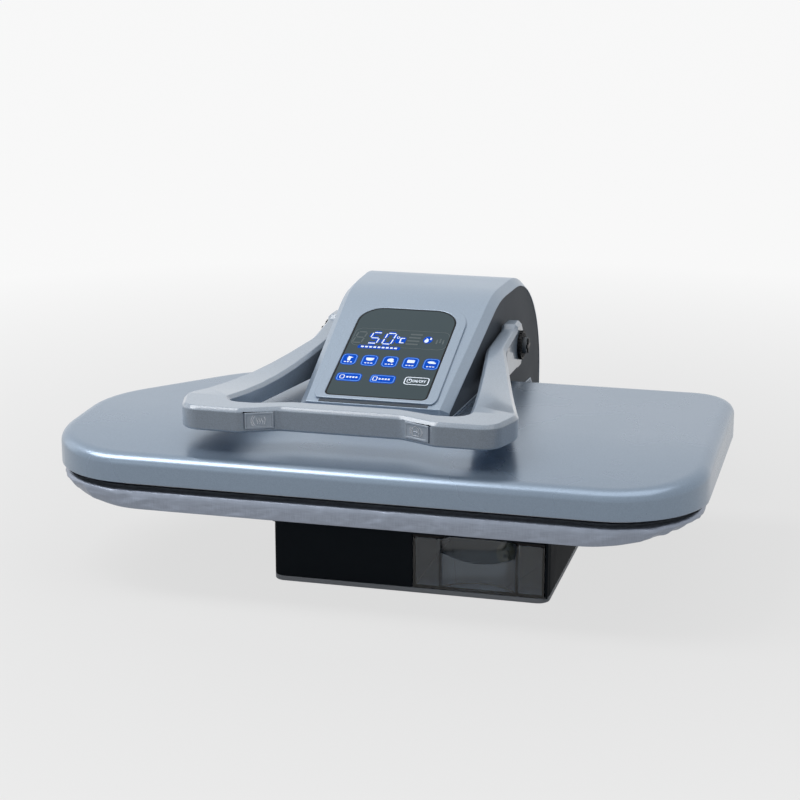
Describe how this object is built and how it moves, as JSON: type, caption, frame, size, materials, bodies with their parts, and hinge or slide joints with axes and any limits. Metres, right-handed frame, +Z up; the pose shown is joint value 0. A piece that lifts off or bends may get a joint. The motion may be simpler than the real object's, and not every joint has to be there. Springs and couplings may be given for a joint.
{
  "type": "steam ironing press",
  "caption": "Countertop steam ironing press: padded cloth board on a base with a clear water tank, and a heated plate on a hinged head with a lever handle, touch panel and steam buttons.",
  "frame": {"origin": "on the floor under the middle of the overall box", "axes": "+X along the board to the squared end, -Y towards the user, +Z up"},
  "size_m": [0.649, 0.566, 0.241],
  "materials": {
    "tray_grey": "satin grey moulding",
    "housing_black": "gloss black moulding",
    "rubber_black": "matt rubber",
    "steel": "plain zinc-plated steel",
    "bright_steel": "polished",
    "black_plastic": "matt black moulding",
    "grey_plastic": "matt",
    "valve_brass": "turned brass",
    "board_green": "circuit board",
    "frame_steel": "grey paint",
    "pan_grey": "grey moulding",
    "pad_foam": "soft foam",
    "silver_cloth": "silver-grey satin cloth",
    "clear_plastic": "clear moulding",
    "plate_alu": "cast and ground",
    "sheet_alu": "sheet",
    "cover_silver": "metallic blue-grey paint",
    "hood_silver": "metallic silver paint",
    "handle_silver": "metallic silver paint",
    "panel_gunmetal": "gunmetal paint",
    "panel_glass": "dark tinted glass",
    "button_grey": "metallic grey paint"
  },
  "bodies": {
    "base": {"base_tray": "tray_grey", "base_housing": "housing_black", "base_feet": "rubber_black", "tray_screws": "steel", "cord_gland": "black_plastic", "water_pump": "grey_plastic", "tank_valve": "valve_brass", "power_board": "board_green", "hinge_bracket": "frame_steel", "bracket_bolts": "steel", "hinge_pin": "steel", "hinge_washers": "black_plastic", "board_pan": "pan_grey", "pan_posts": "pan_grey", "pan_bolts": "steel", "board_pad": "pad_foam", "board_cover": "silver_cloth"},
    "head": {"heating_plate": "plate_alu", "plate_seal": "rubber_black", "heating_element": "steel", "steam_manifold": "plate_alu", "heat_shield": "sheet_alu", "plate_cover": "cover_silver", "arm_frame": "frame_steel", "frame_bolts": "steel", "hood_shell": "hood_silver", "side_panel_left": "panel_gunmetal", "side_panel_right": "panel_gunmetal", "control_bezel": "hood_silver", "control_glass": "panel_glass", "display_board": "board_green", "handle_shaft": "steel", "handle_washers": "black_plastic", "handle_bolts": "bright_steel", "bolt_caps": "black_plastic"},
    "handle": {"handle_frame": "handle_silver", "button_switches": "black_plastic"},
    "steam_left": {"steam_button_left": "button_grey"},
    "steam_right": {"steam_button_right": "button_grey"},
    "tank": {"water_tank": "clear_plastic", "tank_lid": "black_plastic"}
  },
  "joints": [
    {"name": "head_hinge", "type": "hinge", "parent": "base", "child": "head", "pos_m": [-0.0235, 0.193, 0.093], "axis": [-1, 0, 0], "range_deg": [0, 45]},
    {"name": "handle_pivot", "type": "hinge", "parent": "head", "child": "handle", "pos_m": [-0.0235, 0.093, 0.182], "axis": [-1, 0, 0], "range_deg": [0, 36]},
    {"name": "steam_left_press", "type": "slide", "parent": "handle", "child": "steam_left", "axis": [-0.4061, 0.9138, 0], "range_m": [0, 0.002], "stiffness_N_per_m": 600, "springref_m": -0.001},
    {"name": "steam_right_press", "type": "slide", "parent": "handle", "child": "steam_right", "axis": [0.4061, 0.9138, 0], "range_m": [0, 0.002], "stiffness_N_per_m": 600, "springref_m": -0.001},
    {"name": "tank_slide", "type": "slide", "parent": "base", "child": "tank", "axis": [0, -1, 0], "range_m": [0, 0.14]}
  ]
}
